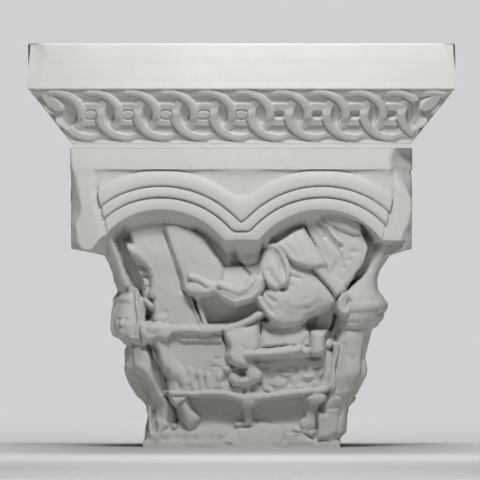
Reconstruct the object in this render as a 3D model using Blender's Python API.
# A historiated Romanesque capital and the impost block that rests on it, as two carved stones.
# Metres, +Z up, origin at the middle of the capital's underside. The told scene faces -Y.

import math

import bpy
import numpy as np

# Overall sizes of the two stones
CAPITAL_HEIGHT = 0.360
CAPITAL_TOP_WIDTH = 0.410
BASE_WIDTH = 0.238
IMPOST_HEIGHT = 0.1245
IMPOST_TOP_WIDTH = 0.510
IMPOST_FOOT_WIDTH = 0.406
BED_JOINT = 0.0003

# The impost's profile
FASCIA_HEIGHT = 0.0537
FOOT_FILLET_HEIGHT = 0.0050
RING_FLOOR_DEPTH = 0.0062
RING_PITCH = 0.0452
RING_RADIUS = 0.0398
RING_BAND = 0.0108
EYELET_RADIUS = 0.0180
EYELET_HOLE = 0.0068
CROSSING_STEP = 0.0024

# The double arch at the top of each face
ARCH_OFFSET = 0.0965
ARCH_CENTRE_HEIGHT = 0.1900
ARCH_SOFFIT_RADIUS = 0.0965
INNER_ORDER_WIDTH = 0.0150
MIDDLE_ORDER_WIDTH = 0.0135
OUTER_ORDER_WIDTH = 0.0190
ORDER_STEP = 0.0034
ORDER_GROOVE = 0.0024
SPANDREL_DEPTH = 0.0055
BAND_HEIGHT = 0.0250
PENDANT_HEIGHT = 0.2500
CORNER_BLOCK_FOOT = 0.2395
SHORT_BLOCK_FOOT = 0.2500
CORNER_BLOCK_WIDTH = 0.0290
SOFFIT_DROP = 0.0165

# How far the arrises of the top block are knocked back, by height as a share of the stone's own
ARRIS_WEAR = 0.0015
LEFT_BREAK_LEVELS = (0.66, 0.69, 0.73, 0.755, 0.80, 0.83, 0.88, 0.92, 0.98)
LEFT_BREAK = (0.013, 0.010, 0.008, 0.005, 0.012, 0.012, 0.009, 0.005, 0.000)
RIGHT_BREAK_LEVELS = (0.66, 0.69, 0.73, 0.76, 0.79, 0.83)
RIGHT_BREAK = (0.019, 0.015, 0.009, 0.005, 0.001, 0.000)

# The carved scene is drawn in steps: this many to the capital's width, its height and its foot's width
SCENE_WIDTH_STEPS = 410.0
SCENE_HEIGHT_STEPS = 360.0
SCENE_FOOT_STEPS = 238.0
SCENE_TOP_STEPS = 250.0
SIDE_SET_BACK = 10.0

# How finely the carving is worked out, and how many faces are kept
FRONT_COLUMNS = 190
SIDE_COLUMNS = 92
SCENE_ROWS = 96
ORDER_ROWS = (5, 5, 6, 3, 3)
IMPOST_COLUMNS = 170
SLOPE_ROWS = 32
CAPITAL_FACES = 6200
IMPOST_FACES = 3700
BED_TOLERANCE = 0.0004

FAR_INSIDE = -1.0e4
WALL_SLOPE = 5.0
SKIRT = 12.0
FAN_START = 0.42
MARCH_STEPS = 22


def smooth_step(value, low, high):
    """0 at low, 1 at high, with a soft start and end."""
    t = np.clip((value - low) / (high - low), 0.0, 1.0)
    return t * t * (3.0 - 2.0 * t)


def soft_max(first, second, blend):
    """The larger of two heights, with a fillet of the size of blend where they meet."""
    share = np.clip(0.5 + 0.5 * (first - second) / blend, 0.0, 1.0)
    return second + (first - second) * share + blend * share * (1.0 - share)


def distance_to_path(x, z, path):
    """Distance from each point to an open path, and how far along it the nearest point is, 0 to 1."""
    nearest = np.full(x.shape, 1.0e9)
    along = np.zeros(x.shape)
    pieces = len(path) - 1
    for i in range(pieces):
        (x0, z0), (x1, z1) = path[i], path[i + 1]
        dx, dz = x1 - x0, z1 - z0
        t = np.clip(((x - x0) * dx + (z - z0) * dz) / (dx * dx + dz * dz), 0.0, 1.0)
        gap = np.hypot(x - x0 - t * dx, z - z0 - t * dz)
        closer = gap < nearest
        nearest = np.where(closer, gap, nearest)
        along = np.where(closer, (i + t) / pieces, along)
    return nearest, along


def depth_in_outline(x, z, outline):
    """Distance from each point to a closed outline, positive inside it."""
    gap, _ = distance_to_path(x, z, outline + [outline[0]])
    inside = np.zeros(x.shape, bool)
    for i, (x0, z0) in enumerate(outline):
        x1, z1 = outline[(i + 1) % len(outline)]
        if z0 != z1:
            crosses = (z0 > z) != (z1 > z)
            inside ^= crosses & (x < x0 + (z - z0) * (x1 - x0) / (z1 - z0))
    return np.where(inside, gap, -gap)


def box_around(points, margin):
    """The box that a form or a cut can reach, so that the rest of the face is left alone."""
    xs = [p[0] for p in points]
    zs = [p[1] for p in points]
    return min(xs) - margin, max(xs) + margin, min(zs) - margin, max(zs) + margin


def lump(centre, radii, crown, fall, lean=0.0):
    """A rounded lump: an ellipse in outline that stands to crown and falls away at its edge."""
    turn = math.radians(lean)

    def height(x, z):
        dx, dz = x - centre[0], z - centre[1]
        across = (dx * math.cos(turn) + dz * math.sin(turn)) / radii[0]
        up = (dz * math.cos(turn) - dx * math.sin(turn)) / radii[1]
        reach = np.hypot(across, up)
        top = crown - fall * (1.0 - np.sqrt(np.clip(1.0 - reach * reach, 0.0, 1.0)))
        return top - np.clip(reach - 1.0, 0.0, None) * min(radii) * WALL_SLOPE

    return box_around([centre], max(radii) + SKIRT), height


def bar(path, radius, crowns, fall):
    """A round bar along a path, its crown going from the first value to the last."""

    def height(x, z):
        gap, along = distance_to_path(x, z, path)
        crown = crowns[0] + (crowns[1] - crowns[0]) * along
        reach = np.clip(gap / radius, 0.0, 1.0)
        top = crown - fall * (1.0 - np.sqrt(1.0 - reach * reach))
        return top - np.clip(gap - radius, 0.0, None) * WALL_SLOPE

    return box_around(path, radius + SKIRT), height


def slab(outline, level, edge, slope_x=0.0, slope_z=0.0, bulge=0.0):
    """A flat, tilted or swelling surface inside an outline, with its rim rounded over."""
    middle_x = sum(p[0] for p in outline) / len(outline)
    middle_z = sum(p[1] for p in outline) / len(outline)

    def height(x, z):
        inside = depth_in_outline(x, z, outline)
        top = level + slope_x * (x - middle_x) + slope_z * (z - middle_z)
        rim = edge * (1.0 - np.clip(inside / edge, 0.0, 1.0)) ** 2
        swell = bulge * (1.0 - np.exp(-np.clip(inside, 0.0, None) / 14.0))
        return top + swell - rim - np.clip(-inside, 0.0, None) * WALL_SLOPE

    return box_around(outline, SKIRT), height


def score(path, width, deep):
    """A groove along a path."""

    def cut(x, z):
        gap, _ = distance_to_path(x, z, path)
        return deep * np.exp(-((gap / width) ** 2))

    return box_around(path, width * 3.0), cut


def channel(path, width, deep):
    """A groove along a path with a flat floor and steep sides."""

    def cut(x, z):
        gap, _ = distance_to_path(x, z, path)
        return deep * (1.0 - smooth_step(gap, width - 1.6, width + 0.6))

    return box_around(path, width + 2.0), cut


def hollow(centre, radii, deep, lean=0.0):
    """A dish with a soft rim."""
    turn = math.radians(lean)

    def cut(x, z):
        dx, dz = x - centre[0], z - centre[1]
        across = (dx * math.cos(turn) + dz * math.sin(turn)) / radii[0]
        up = (dz * math.cos(turn) - dx * math.sin(turn)) / radii[1]
        return deep * (1.0 - smooth_step(np.hypot(across, up), 0.45, 1.15))

    return box_around([centre], max(radii) * 1.3), cut


def sunk(outline, deep, edge):
    """An outline let in with steep sides."""

    def cut(x, z):
        return deep * smooth_step(depth_in_outline(x, z, outline), -edge, edge)

    return box_around(outline, edge + 1.0), cut


def lay(top, x, z, forms, blend):
    """Add forms to a surface, each with a small fillet round it."""
    for (x0, x1, z0, z1), height in forms:
        near = (x > x0) & (x < x1) & (z > z0) & (z < z1)
        top[near] = soft_max(top[near], height(x[near], z[near]), blend)


def carve_out(top, x, z, cuts):
    """Take cuts out of a surface."""
    for (x0, x1, z0, z1), cut in cuts:
        near = (x > x0) & (x < x1) & (z > z0) & (z < z1)
        top[near] -= cut(x[near], z[near])


def bell(z):
    """Half-width of the bare bell behind the figures, in scene steps."""
    heights = [0, 34, 44, 100, 145, 200, 262, 300]
    widths = [110, 113, 114, 113, 123, 140, 158, 166]
    return np.interp(z, heights, widths)


def ground(x, z):
    """The sloping ground under the scene."""
    top = 118.5 - 20.0 * smooth_step(z, 16.0, 44.0)
    return np.where(z > 54.0, FAR_INSIDE, top)


# The chest at the bottom of the scene, with the cloth over its left end and its ruffled hem
CHEST_FORMS = [
    slab([(-90, 62), (-20, 62), (20, 60), (60, 64), (102, 66), (108, 72), (112, 110), (104, 122), (76, 128),
          (-20, 132), (-86, 140), (-108, 138), (-100, 108)], 137, 3, slope_z=0.13),
    slab([(-88, 148), (-20, 147), (14, 157), (2, 142), (-20, 137), (-86, 138)], 155, 3, slope_z=-0.1),
    bar([(-20, 142), (0, 150), (23, 162)], 3.2, (155, 162), 4),
    bar([(-101, 133), (-97, 115), (-89, 101), (-69, 83)], 9.5, (153, 141), 8),
    bar([(-90, 66), (-22, 66), (2, 60), (58, 65), (107, 76)], 3.4, (142, 142), 3),
    bar([(-83, 88), (-79, 71)], 4.5, (138, 136), 4),
    bar([(-72, 91), (-68, 71)], 4.4, (139, 137), 4),
    bar([(-61, 93), (-57, 71)], 4.4, (140, 137), 4),
    bar([(-51, 90), (-47, 72)], 4.2, (139, 137), 4),
    bar([(-40, 87), (-38, 72)], 4.6, (139, 137), 4),
    lump((-17, 94), (5, 4), 143, 3),
]
CHEST_CUTS = [
    score([(-107, 125), (-100, 105), (-94, 87), (-90, 66)], 2.6, 14),
    score([(-90, 63), (-82, 50), (-78, 33)], 2.2, 12),
    hollow((-90, 88), (4, 9), 6),
    hollow((-40, 99), (3, 9), 4),
    hollow((70, 96), (9, 7), 2.4),
    hollow((97, 82), (3, 9), 2.6),
    hollow((4, 70), (3.2, 5), 5),
    hollow((14, 72), (4.4, 6), 6),
]

# Stub legs, the recesses between them and the rough ground
GROUND_FORMS = [
    slab([(-90, 66), (-66, 66), (-68, 57), (-80, 50), (-86, 56)], 139, 3),
    slab([(-76, 52), (-65, 60), (-59, 46), (-49, 34), (-63, 21), (-70, 32)], 128, 6, slope_x=-0.2,
         slope_z=0.3, bulge=3),
    slab([(-8, 62), (22, 61), (12, 50), (0, 50)], 141, 6),
    bar([(7, 50), (8, 32)], 5, (125, 122), 5),
    slab([(-9, 31), (16, 31), (18, 25), (-9, 25)], 120, 4),
    lump((90, 61), (12, 7), 141, 5),
    bar([(87, 55), (85, 34)], 7, (126, 123), 5),
    lump((80, 28), (10, 8), 122.5, 5),
    slab([(60, 26), (92, 22), (90, 14), (60, 12)], 121, 4),
    slab([(-104, 34), (-94, 34), (-88, 27), (-95, 19), (-104, 19)], 121, 4),
    slab([(-52, 34), (-20, 37), (4, 25), (-22, 10), (-60, 8), (-62, 22)], 115, 12, slope_z=-0.25),
    slab([(-34, 2), (-22, 16), (24, 36), (46, 30), (52, 8), (46, -14), (-30, -14)], 119.5, 10,
         slope_z=-0.12, bulge=4),
    slab([(52, 17), (74, 15), (88, 8), (92, -8), (54, -8)], 119.5, 4),
    slab([(91, 44), (108, 39), (108, 12), (92, 10)], 126, 4),
    slab([(51, 58), (66, 50), (70, 34), (80, 34), (82, 58)], 113, 2),
]
GROUND_CUTS = [
    score([(55, 19), (80, 15), (87, 10)], 1.8, 4),
    score([(91, 48), (90, 12)], 1.8, 4),
    score([(-106, 45), (-105, 20)], 2.4, 9),
    hollow((-20, 2), (10, 5), 7),
    hollow((75, 1), (22, 5), 8),
    hollow((-70, 0), (40, 3), 4),
    hollow((108, 4), (14, 6), 6),
]

# The hanging cloths at the left, and what is left of the head beside them
CLOTH_FORMS = [
    slab([(-134, 264), (-128, 270), (-93, 273), (-86, 240), (-73, 205), (-66, 184), (-50, 144), (-88, 143),
          (-104, 156), (-106, 172), (-101, 205), (-113, 228), (-128, 236)], 160.5, 3, slope_z=0.14),
    slab([(-93, 262), (-91, 270), (-60, 263), (-40, 245), (-24, 220), (-24, 200), (-27, 186), (-63, 185),
          (-71, 190), (-77, 213), (-89, 247)], 171, 5, slope_z=0.11, bulge=2),
    bar([(-139, 240), (-121, 232), (-106, 216), (-103, 196), (-105, 187)], 6.5, (167, 157), 6),
    bar([(-64, 183), (-49, 146)], 2.6, (154, 151), 2.6),
    slab([(-42, 252), (-12, 252), (-12, 218), (-22, 217), (-30, 230)], 156, 4),
]
CLOTH_CUTS = [
    score([(-94, 262), (-86, 240), (-76, 213), (-71, 190)], 2.0, 4.5),
    score([(-70, 190), (-58, 165), (-52, 145)], 2.4, 5),
    hollow((-110, 185), (5, 5), 3),
    hollow((-115, 161), (4.5, 8), 16),
]
HEAD_REMAINS = [
    lump((-118, 213), (9, 4), 153, 4, 20),
    slab([(-121, 206), (-107, 205), (-107, 190), (-116, 190)], 151, 3),
    bar([(-117, 176), (-106, 170)], 3.4, (153, 150), 3),
    slab([(-123, 154), (-104, 152), (-87, 147), (-84, 136), (-100, 131), (-117, 128), (-124, 135)], 159, 6,
         bulge=2),
    lump((-97, 157), (9, 7), 155, 5),
]

# The seated figure: torso, arm held out, knee and foot on the chest, broken head and hood
FIGURE_FORMS = [
    slab([(28, 201), (25, 185), (35, 160), (33, 151), (48, 145), (75, 151), (93, 161), (115, 174), (98, 201),
          (82, 218), (58, 227), (40, 216)], 164, 6, slope_z=0.08, bulge=6),
    slab([(40, 176), (60, 160), (84, 164), (106, 178), (98, 198), (84, 212), (62, 206), (48, 192)], 169, 12,
         bulge=3),
    slab([(24, 152), (74, 150), (80, 140), (70, 122), (24, 122)], 149, 4, slope_x=0.12, slope_z=-0.12),
    slab([(-22, 137), (-8, 146), (22, 153), (22, 116), (7, 95), (-5, 98), (-18, 110), (-15, 122)], 156, 6,
         slope_x=-0.05, slope_z=-0.1, bulge=4),
    bar([(6, 106), (12, 96)], 8, (150, 148), 6),
    bar([(5, 113), (50, 116), (69, 119)], 4.6, (160, 160), 4),
    slab([(66, 124), (80, 142), (84, 120), (76, 110), (40, 110), (40, 116)], 150, 3),
    slab([(84, 140), (101, 141), (100, 115), (84, 113)], 159, 5, bulge=3),
    slab([(-13, 93), (0, 86), (1, 78), (-10, 76), (-15, 83)], 146, 4, bulge=1),
    slab([(8, 101), (19, 99), (26, 90), (22, 80), (8, 80)], 147, 5, bulge=2),
    slab([(-26, 204), (-30, 216), (1, 218), (12, 205), (-8, 192)], 163, 3, slope_z=-0.15),
    slab([(1, 218), (13, 204), (26, 206), (30, 216), (8, 222)], 159, 3),
    slab([(-29, 197), (-20, 195), (-4, 188), (10, 197), (21, 211), (30, 206), (27, 188), (12, 176),
          (-8, 171), (-22, 178), (-30, 185)], 170, 6, bulge=3),
    bar([(-26, 197), (-4, 188), (14, 203)], 4.2, (173, 173), 3),
    slab([(-70, 191), (-63, 203), (-48, 205), (-26, 198), (-27, 186), (-63, 185)], 173, 5),
    lump((8, 240), (17, 20), 166, 9),
    slab([(20, 254), (40, 270), (64, 270), (44, 246), (30, 244)], 161, 3),
]
HEAD_FORMS = [
    lump((41, 217), (16.5, 26), 177, 6, 12),
    bar([(43, 241), (54, 223), (54, 203)], 3.4, (179, 176), 3),
    slab([(42, 245), (62, 260), (75, 266), (89, 240), (102, 219), (75, 218), (58, 226)], 179, 4,
         slope_x=-0.08, slope_z=-0.08, bulge=3),
    slab([(82, 218), (98, 224), (112, 204), (124, 200), (125, 190), (113, 181), (98, 201)], 173, 3,
         slope_x=-0.1),
]
FIGURE_CUTS = [
    hollow((37, 218), (14, 24), 3.4, 12),
    hollow((49, 214), (4, 15), 5, 8),
    hollow((51, 191), (6, 4), 8),
    hollow((88, 108), (9, 3), 8),
    hollow((0, 91), (5, 4), 5),
    sunk([(72, 151), (78, 158), (93, 162), (91, 152), (82, 140), (77, 142)], 15, 1.5),
    sunk([(112, 163), (117, 160), (107, 141), (105, 142)], 16, 1.4),
    score([(-23, 139), (-14, 122), (-17, 110), (-12, 103), (6, 95)], 1.9, 7),
    score([(18, 117), (66, 122)], 1.7, 4),
    score([(-14, 80), (-10, 75), (22, 79)], 1.7, 3.6),
    score([(113, 135), (110, 108)], 1.6, 6),
    score([(-10, 248), (-10, 237), (1, 218), (13, 204)], 1.9, 4),
]

# The feathered wing at the right, and the deep slots beside both corner figures
WING_FORMS = [
    slab([(64, 284), (90, 292), (118, 278), (143, 255), (154, 233), (142, 212), (122, 190), (104, 210),
          (92, 238), (78, 266)], 170, 4, slope_x=0.06, slope_z=0.13),
    slab([(90, 292), (118, 278), (143, 255), (132, 256), (104, 272)], 180, 3, slope_z=0.1),
    slab([(93, 288), (104, 276), (122, 246), (116, 246), (93, 276)], 177, 2, slope_z=0.1),
]
WING_CUTS = [
    score([(92, 272), (104, 253), (119, 234), (120, 222)], 1.8, 3.2),
    score([(96, 279), (112, 259), (120, 240)], 1.7, 3),
    hollow((77, 274), (11, 5), 8),
    channel([(146, 268), (147, 258), (157, 240), (157, 232), (152, 223), (139, 206)], 4.6, 26),
    channel([(139, 206), (126, 187)], 3.2, 22),
]
SLOT_CUTS = [
    channel([(-150, 250), (-137, 226), (-124, 198)], 5.6, 30),
    channel([(-124, 198), (-119, 174), (-115, 160)], 2.4, 24),
    sunk([(-158, 256), (-150, 258), (-136, 256), (-132, 248), (-140, 243), (-150, 243)], 20, 2.0),
]

# The ear of the right-hand corner figure and the fold that falls in front of it
EDGE_FORMS = [
    lump((124.5, 174), (9.5, 14), 172, 6),
    slab([(112, 126), (122, 124), (119, 97), (113, 70), (104, 71), (108, 97)], 146, 2.4, slope_z=0.17),
]
EDGE_CUTS = [
    hollow((129, 173), (5, 8), 8),
]


def told_scene(x, z):
    """The front scene as one surface: how far each place stands out from the axis."""
    top = soft_max(bell(z), ground(x, z), 6.0)
    lay(top, x, z, GROUND_FORMS, 2.0)
    carve_out(top, x, z, GROUND_CUTS)
    lay(top, x, z, CHEST_FORMS, 1.6)
    carve_out(top, x, z, CHEST_CUTS)
    lay(top, x, z, CLOTH_FORMS, 1.6)
    lay(top, x, z, HEAD_REMAINS, 1.6)
    lay(top, x, z, WING_FORMS, 1.2)
    carve_out(top, x, z, WING_CUTS)
    lay(top, x, z, EDGE_FORMS, 1.6)
    carve_out(top, x, z, EDGE_CUTS)
    lay(top, x, z, FIGURE_FORMS, 1.8)
    lay(top, x, z, HEAD_FORMS, 1.4)
    for cuts in (FIGURE_CUTS, CLOTH_CUTS, SLOT_CUTS):
        carve_out(top, x, z, cuts)
    return np.minimum(top, 196.0)


def standing_figure(x, z, middle, tall, turned):
    """A draped figure on a plain side: gown with straight folds, folded arms, veil and head."""
    foot = 22.0
    head = foot + tall
    t = x - middle
    outline = [(-26, foot), (26, foot), (29, head - 70), (24, head - 42), (13, head - 32), (-13, head - 32),
               (-24, head - 42), (-29, head - 70)]
    gown = slab(outline, 5.0, 9.0, bulge=8.0)[1](t, z)
    fold = np.abs((t / 13.0 + 0.25 * np.sin(z / 31.0)) % 1.0 - 0.5) * 2.0
    gown -= 3.0 * (1.0 - fold) ** 2 * smooth_step(-z, 74.0 - head, 96.0 - head) * (np.abs(t) < 27.0)
    arm_line = [(-24 * turned, head - 50), (-20 * turned, head - 80), (14 * turned, head - 70)]
    arms = bar(arm_line, 8.0, (15.0, 17.0), 7.0)[1](t, z)
    skull = lump((2 * turned, head - 15), (14, 19), 21.0, 13.0)[1](t, z)
    nose = bar([(2 * turned, head - 12), (2 * turned, head - 19)], 2.5, (23.0, 24.0), 2.0)[1](t, z)
    veil = lump((0, head - 15), (19, 23), 13.0, 10.0)[1](t, z)
    neck = bar([(0, head - 30), (0, head - 44)], 9.0, (11.0, 11.0), 5.0)[1](t, z)
    top = gown
    for form in (neck, veil, arms, skull, nose):
        top = soft_max(top, form, 1.2)
    return np.where(z > head + 20.0, FAR_INSIDE, bell(z) - SIDE_SET_BACK + top)


# The quiet figures on the right, back and left faces: place across, height and which way each turns
SIDE_FIGURES = [
    [(-46, 214, 1), (45, 200, -1)],
    [(-44, 204, -1), (47, 212, 1)],
    [(-46, 208, 1), (46, 206, -1)],
]


def side_scene(face):
    """The scene of one of the faces that the front view hides."""

    def scene(x, z):
        top = soft_max(bell(z) - SIDE_SET_BACK / 2, ground(x, z) - SIDE_SET_BACK / 2, 6.0)
        for middle, tall, turned in SIDE_FIGURES[face - 1]:
            top = soft_max(top, standing_figure(x, z, middle, tall, turned), 1.6)
        return np.minimum(top, 196.0)

    return scene


# Corner figures as sections: height, middle to the right, middle forward, half-width
VEILED_CORNER = [
    (0, 104, 106, 13), (12, 106, 107, 13), (20, 105, 106, 13), (28, 102, 102, 14), (38, 98, 99, 16),
    (48, 97, 99, 17), (56, 101, 103, 18), (64, 106, 110, 18.5), (72, 110, 115, 19), (80, 114, 119, 20),
    (88, 118, 122, 20), (96, 121, 124, 20.5), (105, 122, 125, 20.5), (113, 123, 126, 20),
    (119, 124, 127, 18), (125, 127, 129, 17), (131, 131, 133, 18), (138, 134, 136, 19), (146, 135, 136, 20),
    (156, 134, 135, 20), (166, 133, 135, 19.5), (176, 132, 135, 19), (186, 134, 137, 16),
    (194, 138, 141, 13), (200, 141, 144, 11),
    (210, 145, 148, 9.5), (225, 151, 153, 10), (240, 158, 160, 12), (256, 166, 167, 14), (272, 176, 176, 14),
]
CAPPED_CORNER = [
    (0, 105, 106, 13), (12, 107, 107, 13), (18, 113, 111, 14), (30, 113, 111, 15), (40, 112, 111, 16),
    (52, 115, 114, 17), (62, 120, 118, 18), (75, 126, 123, 19), (88, 130, 128, 20), (95, 131, 128, 20),
    (105, 130, 128, 20), (120, 132, 129, 20), (130, 135, 132, 19), (138, 138, 134, 18), (142, 139, 134, 20),
    (148, 141, 136, 24), (156, 144, 139, 26), (168, 147, 142, 27), (176, 147, 143, 26.5),
    (184, 146, 144, 24),
    (190, 145, 145, 20), (197, 149, 148, 15), (205, 154, 152, 10), (215, 159, 154, 8), (230, 168, 161, 9),
    (245, 174, 168, 11), (262, 181, 178, 13),
]
# Folds seen square-on, by distance from the axis and height; a negative depth stands out
VEILED_FOLDS = [
    score([(148, 127), (118, 122), (106, 122)], 2.8, 3.4),
    score([(139, 96), (121, 84), (113, 55), (106, 20)], 3.0, 3.4),
    score([(126, 100), (108, 84), (95, 62)], 5.0, -2.0),
    score([(104, 122), (92, 70)], 2.4, 9),
    score([(147, 183), (130, 199)], 1.9, 3.4),
]
CAPPED_FOLDS = [
    score([(112, 142), (160, 144)], 2.4, 3.0),
    score([(124.5, 124), (122, 96), (115.5, 70)], 2.6, 2.8),
    score([(149, 108), (131, 58)], 3.0, 1.8),
    hollow((125, 27), (6, 11), -4.0),
]
# A corner figure: sections, folds, height and size of its head, how far the head and the body turn to the
# corner's right, how thick the body is for its width, and whether it wears a hood (1) or a banded cap (0)
CAPPED_FIGURE = (CAPPED_CORNER, CAPPED_FOLDS, 161.0, 23.0, 0.42, 0.0, 0.92, 0.0)
VEILED_FIGURE = (VEILED_CORNER, VEILED_FOLDS, 154.0, 20.0, 0.30, -0.18, 0.56, 1.0)
CORNERS = [CAPPED_FIGURE, CAPPED_FIGURE, VEILED_FIGURE, VEILED_FIGURE]


def section_at(sections, z):
    """The sections read at each height from a table that is smoothed over a few steps."""
    levels = np.arange(-12.0, 292.0)
    window = np.hanning(9)
    window /= window.sum()
    heights = [s[0] for s in sections]
    values = []
    for i in (1, 2, 3):
        row = np.interp(levels, heights, [s[i] for s in sections])
        row = np.convolve(np.pad(row, 4, mode="edge"), window, mode="valid")
        values.append(np.interp(z, levels, row))
    return values


def corner_carve(figure, mirrored, edge_x, edge_d, z, out_x, out_d):
    """How far in along each ray a corner figure is met, with its folds, its nose and its hood or cap."""
    sections, folds, head, size, turned_by, lean, flat, hooded = figure
    right, forward, radius = section_at(sections, z)
    side = -1.0 if mirrored else 1.0
    if mirrored:
        right, forward = forward, right
        edge_x, out_x = -edge_x, -out_x
    top_of_head = 1.0 - smooth_step(z, head + 1.2 * size, head + 1.7 * size)
    on_head = smooth_step(z, head - 1.25 * size, head - 0.95 * size) * top_of_head
    thick = flat + (0.94 - flat) * on_head
    wide = np.sqrt(2.0 - thick**2)
    s, c = math.sin(math.pi / 4 + side * lean), math.cos(math.pi / 4 + side * lean)
    away_x, away_d = edge_x - right, edge_d - forward
    depth, breadth = thick * radius, wide * radius
    along_u, along_v = (away_d * c + away_x * s) / depth, (away_x * c - away_d * s) / breadth
    ray_u, ray_v = (out_d * c + out_x * s) / depth, (out_x * c - out_d * s) / breadth
    dot = along_u * ray_u + along_v * ray_v
    length = ray_u**2 + ray_v**2
    room = 1.0 - along_u**2 - along_v**2 + dot**2 / length
    inward = (dot - np.sqrt(np.clip(room * length, 0.0, None))) / length
    hit_x, hit_d = away_x - out_x * inward, away_d - out_d * inward
    angle = np.arctan2(hit_x, hit_d) - math.pi / 4
    across, rise = radius * (side * angle - turned_by) / size, (z - head) / size
    nose = 0.20 * size * np.exp(-((across / 0.15) ** 2) - ((rise + 0.10) / 0.20) ** 2)
    oval = np.hypot(across / 0.84, rise / 1.04)
    hood = 2.8 * smooth_step(oval, 0.92, 1.28) * on_head * hooded
    cap = 2.4 * smooth_step(-rise, -0.72, -0.60) * smooth_step(rise, 0.12, 0.34) * (1.0 - hooded)
    cuts = np.zeros_like(z)
    carve_out(cuts, right + hit_x, z, folds)
    cuts *= 1.0 - smooth_step(angle, 0.0, 0.5)
    miss = np.clip(np.sqrt(np.clip(-room, 0.0, None)) * radius * WALL_SLOPE, 0.0, 400.0)
    return inward - (nose + hood + cap + cuts) * (room > 0.0) + miss


def envelope(z):
    """Half-width of the block before the scene is cut, in scene steps."""
    return np.interp(z, [0, 60, 150, 250], [150, 170, 196, SCENE_WIDTH_STEPS / 2])


def foot_taper(z):
    """How much the scene is widened or narrowed at each height, so that its foot has the width it should."""
    foot_steps = BASE_WIDTH / CAPITAL_TOP_WIDTH * SCENE_WIDTH_STEPS
    return 1.0 + (foot_steps / SCENE_FOOT_STEPS - 1.0) * (1.0 - smooth_step(z, 0.0, SCENE_TOP_STEPS))


def fan(a):
    """The outward direction at a place across a face, square to it and turning to 45 degrees at its ends."""
    turn = np.sign(a) * np.clip((np.abs(a) - FAN_START) / (1.0 - FAN_START), 0.0, 1.0) * math.pi / 4
    return np.sin(turn), np.cos(turn)


def first_hit(scene, edge_x, edge_d, z, out_x, out_d):
    """How far in along each slanting ray the scene's surface is first met."""
    reach = edge_d - 0.9 * bell(z)
    before = np.zeros_like(z)
    gap_before = edge_d - scene(edge_x, z)
    hit = np.where(gap_before <= 0.0, 0.0, np.nan)
    for i in range(1, MARCH_STEPS + 1):
        here = reach * i / MARCH_STEPS / out_d
        gap = edge_d - out_d * here - scene(edge_x - out_x * here, z)
        share = gap_before / np.maximum(gap_before - gap, 1.0e-9)
        met = np.isnan(hit) & (gap <= 0.0)
        hit = np.where(met, before + (here - before) * np.clip(share, 0.0, 1.0), hit)
        before, gap_before = here, gap
    return np.where(np.isnan(hit), before, hit)


def scene_carve(face, a, z):
    """Depth of the scene below the envelope along each ray, for one face."""
    out_x, out_d = fan(a)
    edge_d = envelope(z)
    edge_x = a * edge_d
    scene = told_scene if face == 0 else side_scene(face)
    side = np.abs(edge_x)
    slant = np.maximum(np.abs(out_x), 1.0e-3)
    carve = edge_d - scene(edge_x, z)
    slanting = np.abs(a) > FAN_START
    carve[slanting] = first_hit(scene, *(values[slanting] for values in (edge_x, edge_d, z, out_x, out_d)))
    carve = soft_max(carve, (side - bell(z)) / slant, 4.0)
    foot_half = SCENE_FOOT_STEPS / 2
    foot = np.maximum((edge_d - foot_half) / out_d, (side - foot_half) / slant)
    foot += 60.0 * smooth_step(z, 6.0, 26.0)
    carve = -soft_max(-carve, -foot, 4.0)
    for figure, mirrored in ((CORNERS[face], False), (CORNERS[face - 1], True)):
        beside = corner_carve(figure, mirrored, edge_x, edge_d, z, out_x, out_d)
        carve = -soft_max(-carve, -beside, 3.0)
    return np.maximum(carve, 0.0)


def arch_line(x, radius, pendant, corner):
    """Height of one moulding line across a face: two arches, the pendant between and the corner blocks."""
    rise = np.sqrt(np.clip(radius**2 - (np.abs(x) - ARCH_OFFSET) ** 2, 0.0, None))
    centre_level = soft_max(rise, np.full_like(rise, pendant - ARCH_CENTRE_HEIGHT), 0.005)
    corner_level = soft_max(rise, np.full_like(rise, corner - ARCH_CENTRE_HEIGHT), 0.005)
    return ARCH_CENTRE_HEIGHT + np.where(np.abs(x) < ARCH_OFFSET, centre_level, corner_level)


def moulding_lines(face, x):
    """The lines that bound the orders, from the soffit's front edge up to the stone's top."""
    band_foot = np.full_like(x, CAPITAL_HEIGHT - BAND_HEIGHT)
    block = np.where((face == 0) & (x > 0), SHORT_BLOCK_FOOT, CORNER_BLOCK_FOOT)
    radii = np.cumsum([ARCH_SOFFIT_RADIUS, INNER_ORDER_WIDTH, MIDDLE_ORDER_WIDTH, OUTER_ORDER_WIDTH])
    drops = np.cumsum([0.0, 0.0108, 0.0110, 0.0330])
    lines = [arch_line(x, r, PENDANT_HEIGHT + d, block + 0.9 * d) for r, d in zip(radii, drops)]
    lines[3] = np.minimum(lines[3], band_foot - 0.0015)
    return [*lines, band_foot, np.full_like(x, CAPITAL_HEIGHT)]


def broken_arris(face, x, z, out_x, out_d):
    """How far the two front arrises of the top block have been knocked back along each ray."""
    up = z / CAPITAL_HEIGHT
    left = np.interp(up, LEFT_BREAK_LEVELS, LEFT_BREAK)
    right = np.interp(up, RIGHT_BREAK_LEVELS, RIGHT_BREAK)
    on_left = ((face == 0) & (x < 0)) | ((face == 3) & (x > 0))
    on_right = ((face == 0) & (x > 0)) | ((face == 1) & (x < 0))
    loss = np.where(on_left, left, np.where(on_right, right, ARRIS_WEAR))
    beyond = np.clip(np.abs(x) - (CAPITAL_TOP_WIDTH / 2 - loss), 0.0, None)
    return beyond / (np.abs(out_x) + out_d)


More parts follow.
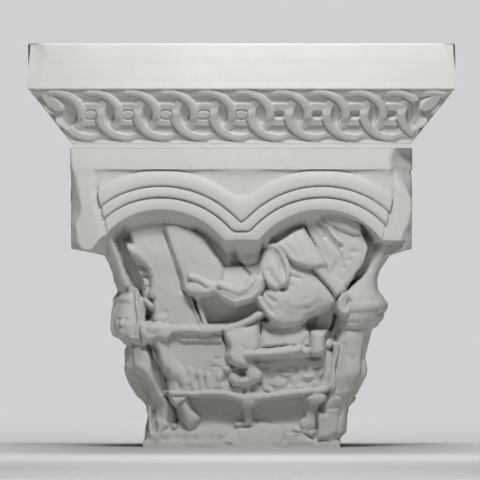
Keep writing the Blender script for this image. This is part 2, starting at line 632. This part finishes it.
def moulding_carve(row, x, thin):
    """Depth of the orders, spandrel and band below the block's face, by row: 1.5 is half-way up order 1.
    A spandrel that is thin in height is left flush."""
    order = np.clip(np.floor(row), 0, 4).astype(int)
    into = row - order
    level = np.zeros_like(x)
    spandrel = SPANDREL_DEPTH * thin
    base = np.choose(order, [level + 2.0 * ORDER_STEP, level + ORDER_STEP, level, spandrel, level])
    swell = np.where(order < 3, 0.0010 * (1.0 - np.sin(math.pi * np.clip(into, 0.0, 1.0))), 0.0)
    cut = sum(ORDER_GROOVE * np.exp(-(((row - line) / 0.10) ** 2)) for line in (1.0, 2.0))
    arch_end = CAPITAL_TOP_WIDTH / 2 - CORNER_BLOCK_WIDTH
    on_face = 1.0 - smooth_step(np.abs(x), arch_end - 0.004, arch_end + 0.002)
    stop = 0.005 * np.exp(-(((np.abs(x) - arch_end) / 0.0025) ** 2)) * (row < 3.3)
    return (base + swell + cut) * on_face + (1.0 - on_face) * 0.0012 * (row < 4) + stop


def square_ring(columns):
    """Places across the four faces in order, as (face, a) with a from -1 to 1 across each face."""
    faces = []
    places = []
    for face, count in enumerate(columns):
        faces.append(np.full(count, face))
        places.append(-1.0 + 2.0 * np.arange(count) / count)
    return np.concatenate(faces), np.concatenate(places)


def turned(face, x, d, z):
    """A point x to the right and d outward on a face, in the stone's own axes."""
    angle = face * math.pi / 2
    c, s = np.cos(angle), np.sin(angle)
    return np.stack(np.broadcast_arrays(x * c + d * s, x * s - d * c, z), axis=-1)


def capital_rows():
    """The surface of the capital, row by row from the underside to the top bed."""
    face, a = square_ring([FRONT_COLUMNS] + [SIDE_COLUMNS] * 3)
    half = CAPITAL_TOP_WIDTH / 2
    x = a * half
    out_x, out_d = fan(a)
    x_step, z_step = CAPITAL_TOP_WIDTH / SCENE_WIDTH_STEPS, CAPITAL_HEIGHT / SCENE_HEIGHT_STEPS
    lines = moulding_lines(face, x)
    z = np.linspace(0.0, 1.0, SCENE_ROWS + 1)[:, None] * (lines[0] - SOFFIT_DROP)
    level = z / z_step
    carve = np.zeros_like(z)
    wide = np.broadcast_to(a, z.shape)
    for f in range(4):
        here = face == f
        carve[:, here] = scene_carve(f, np.array(wide[:, here]), level[:, here])
    edge = envelope(level)
    width_step = x_step * foot_taper(level)
    carved_x, carved_d = (a * edge - out_x * carve) * width_step, (edge - out_d * carve) * width_step
    rows = list(turned(face, carved_x, carved_d, z))
    thin = smooth_step(lines[4] - lines[3], 0.001, 0.008)
    lip_carve = moulding_carve(np.zeros_like(a), x, thin) + broken_arris(face, x, lines[0], out_x, out_d)
    lip = turned(face, x - out_x * lip_carve, half - out_d * lip_carve, lines[0])
    rows.append(0.5 * (rows[-1] + lip))
    for order, count in enumerate(ORDER_ROWS):
        for i in range(count):
            t = i / count
            height = lines[order] * (1.0 - t) + lines[order + 1] * t
            cut = moulding_carve(np.full_like(a, order + t), x, thin)
            cut += broken_arris(face, x, height, out_x, out_d)
            rows.append(turned(face, x - out_x * cut, half - out_d * cut, height))
    flush = moulding_carve(np.full_like(a, 4.9), x, thin) + broken_arris(face, x, lines[5], out_x, out_d)
    rows.append(turned(face, x - out_x * flush, half - out_d * flush, lines[5]))
    return rows


def ring_relief(x, q):
    """Depth of the interlaced rings: x along the face, q up the slope from its middle."""
    depth = np.full(x.shape, RING_FLOOR_DEPTH)
    nearest = np.round(x / RING_PITCH)
    half_band = RING_BAND / 2
    middle = RING_RADIUS - half_band
    count = int((IMPOST_TOP_WIDTH / 2) / RING_PITCH)
    for step in (-1, 0, 1):
        dx = x - np.clip(nearest + step, -count, count) * RING_PITCH
        reach = np.abs(np.hypot(dx, q) - middle) / half_band
        crest = 0.0016 * np.clip(reach, 0.0, 1.0) ** 2
        under = CROSSING_STEP * smooth_step(-dx * np.sign(q), -0.004, 0.012)
        depth = np.minimum(depth, crest + under + np.clip(reach - 1.0, 0.0, None) * half_band * 2.6)
    dx = x - np.clip(nearest, -count, count) * RING_PITCH
    eyelet_middle = (EYELET_RADIUS + EYELET_HOLE) / 2
    reach = np.abs(np.hypot(dx, q) - eyelet_middle) / ((EYELET_RADIUS - EYELET_HOLE) / 2)
    eyelet = 0.0018 + 0.0010 * np.clip(reach, 0.0, 1.0) ** 2 + np.clip(reach - 1.0, 0.0, None) * 0.012
    depth = np.minimum(depth, eyelet)
    hole = np.hypot(dx, q) < EYELET_HOLE
    return np.where(hole, np.maximum(depth, RING_FLOOR_DEPTH * 0.9), depth)


def impost_rows():
    """The surface of the impost block, row by row from its lower bed to its top."""
    face, a = square_ring([IMPOST_COLUMNS] * 4)
    out_x, out_d = fan(a)
    foot, top = CAPITAL_HEIGHT + BED_JOINT, CAPITAL_HEIGHT + IMPOST_HEIGHT
    slope_foot, slope_top = foot + FOOT_FILLET_HEIGHT, top - FASCIA_HEIGHT
    low_half, high_half = IMPOST_FOOT_WIDTH / 2, IMPOST_TOP_WIDTH / 2
    run, climb = high_half - low_half, slope_top - slope_foot
    slope = math.hypot(run, climb)
    rows = []
    for z in (foot, slope_foot):
        rows.append(turned(face, a * low_half, np.full_like(a, low_half), z))
    for i in range(1, SLOPE_ROWS):
        t = i / SLOPE_ROWS
        half = low_half + run * t
        q = (t - 0.5) * slope
        carve = ring_relief(a * 0.5 * (low_half + high_half), np.full_like(a, q))
        ends = smooth_step(np.abs(a), 0.95, 1.0)
        edges = smooth_step(abs(q), slope / 2 - 0.010, slope / 2 - 0.0025)
        carve = carve * (1.0 - ends) * (1.0 - edges)
        inward = carve * climb / slope
        rows.append(turned(face, a * half - out_x * inward, half - out_d * inward,
                           slope_foot + climb * t + carve * run / slope))
    for z in (slope_top, slope_top + 0.5 * (top - slope_top), top):
        rows.append(turned(face, a * high_half, np.full_like(a, high_half), z))
    return rows


def closed_mesh(name, rows):
    """A mesh from rings of points stacked upward, with a flat polygon over each end."""
    points = np.concatenate(rows)
    count, levels = len(rows[0]), len(rows)
    column = np.arange(count)
    following = (column + 1) % count
    base = (np.arange(levels - 1) * count)[:, None]
    corners = [base + column, base + following, base + count + following, base + count + column]
    quads = np.stack(corners, axis=-1)
    faces = quads.reshape(-1, 4).tolist()
    faces.append(list(range(count))[::-1])
    faces.append(list(range((levels - 1) * count, levels * count)))
    mesh = bpy.data.meshes.new(name)
    mesh.from_pydata(points.tolist(), [], faces)
    mesh.update()
    return mesh


def flatten_beds(mesh, low, high):
    """Put the points that simplifying has nudged off either bed back on it."""
    for point in mesh.vertices:
        for bed in (low, high):
            if abs(point.co.z - bed) < BED_TOLERANCE:
                point.co.z = bed
    mesh.update()


def stone_material():
    """Pale, dry, matt limestone."""
    stone_look = bpy.data.materials.new("pale_limestone")
    stone_look.use_nodes = True
    shader = stone_look.node_tree.nodes["Principled BSDF"]
    shader.inputs["Base Color"].default_value = (0.62, 0.615, 0.60, 1.0)
    shader.inputs["Roughness"].default_value = 0.9
    shader.inputs["Metallic"].default_value = 0.0
    return stone_look


def stone(name, rows, faces, low, high, material):
    """One stone: the carved surface, simplified to a count of faces, with its two beds dead flat."""
    block = bpy.data.objects.new(name, closed_mesh(name, rows))
    bpy.context.scene.collection.objects.link(block)
    simplify = block.modifiers.new("simplify", "DECIMATE")
    simplify.decimate_type = "COLLAPSE"
    simplify.ratio = faces / (2 * len(rows[0]) * len(rows))
    simplified = block.evaluated_get(bpy.context.evaluated_depsgraph_get())
    block.data = bpy.data.meshes.new_from_object(simplified)
    block.modifiers.clear()
    flatten_beds(block.data, low, high)
    block.data.materials.append(material)
    return block


def main():
    for thing in list(bpy.data.objects):
        bpy.data.objects.remove(thing, do_unlink=True)
    material = stone_material()
    lower_bed = CAPITAL_HEIGHT + BED_JOINT
    stone("capital", capital_rows(), CAPITAL_FACES, 0.0, CAPITAL_HEIGHT, material)
    stone("impost_block", impost_rows(), IMPOST_FACES, lower_bed, CAPITAL_HEIGHT + IMPOST_HEIGHT, material)


main()
